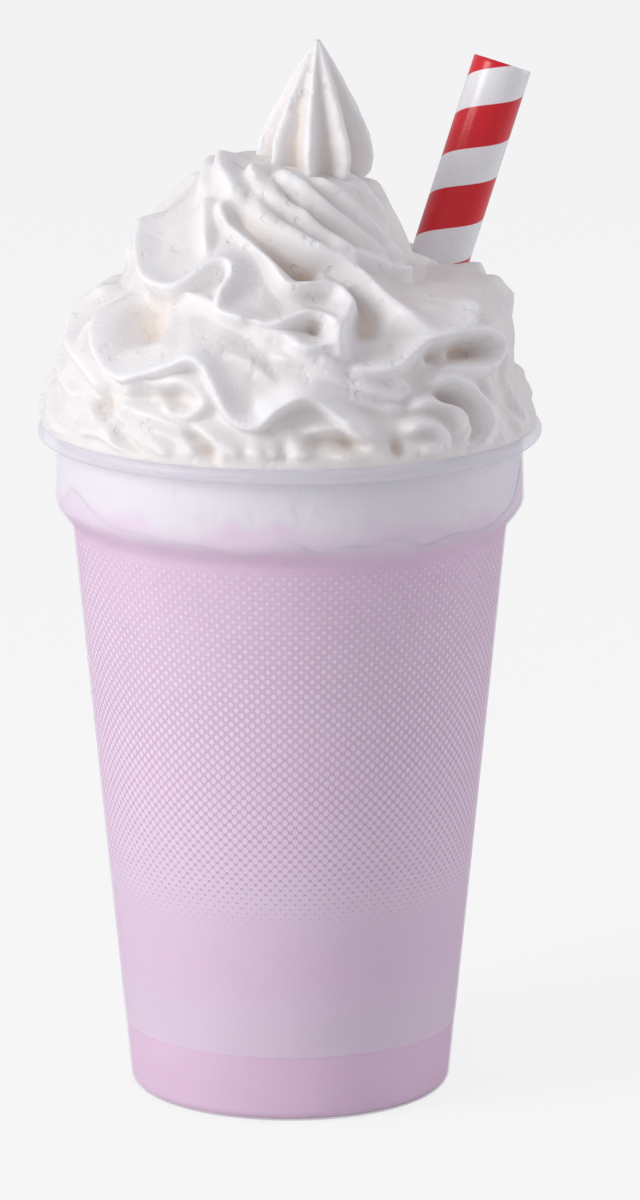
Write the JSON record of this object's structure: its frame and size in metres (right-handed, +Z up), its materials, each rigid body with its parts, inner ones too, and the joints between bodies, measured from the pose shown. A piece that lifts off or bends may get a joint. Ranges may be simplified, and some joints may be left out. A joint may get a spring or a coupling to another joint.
{
  "type": "strawberry milkshake",
  "caption": "Pink strawberry milkshake in a frosted to-go cup, heaped with piped whipped cream, with a wide striped paper straw leaning out.",
  "frame": {"origin": "centre of the cup's base, on the surface it stands on", "axes": "+Z up along the cup's axis; the shown side faces -Y; the straw leans towards +X and a little towards +Y"},
  "size_m": [0.098, 0.098, 0.2078],
  "materials": {
    "frosted_plastic": "frosted, translucent, with a printed white halftone fade",
    "strawberry_shake": "smooth pale pink dairy drink",
    "whipped_cream": "soft white cream with a slight sheen",
    "striped_paper": "smooth waxed paper with red and white spiral stripes"
  },
  "bodies": {
    "root": {"cup": "frosted_plastic", "shake": "strawberry_shake", "whipped_cream": "whipped_cream", "straw": "striped_paper"}
  },
  "joints": []
}
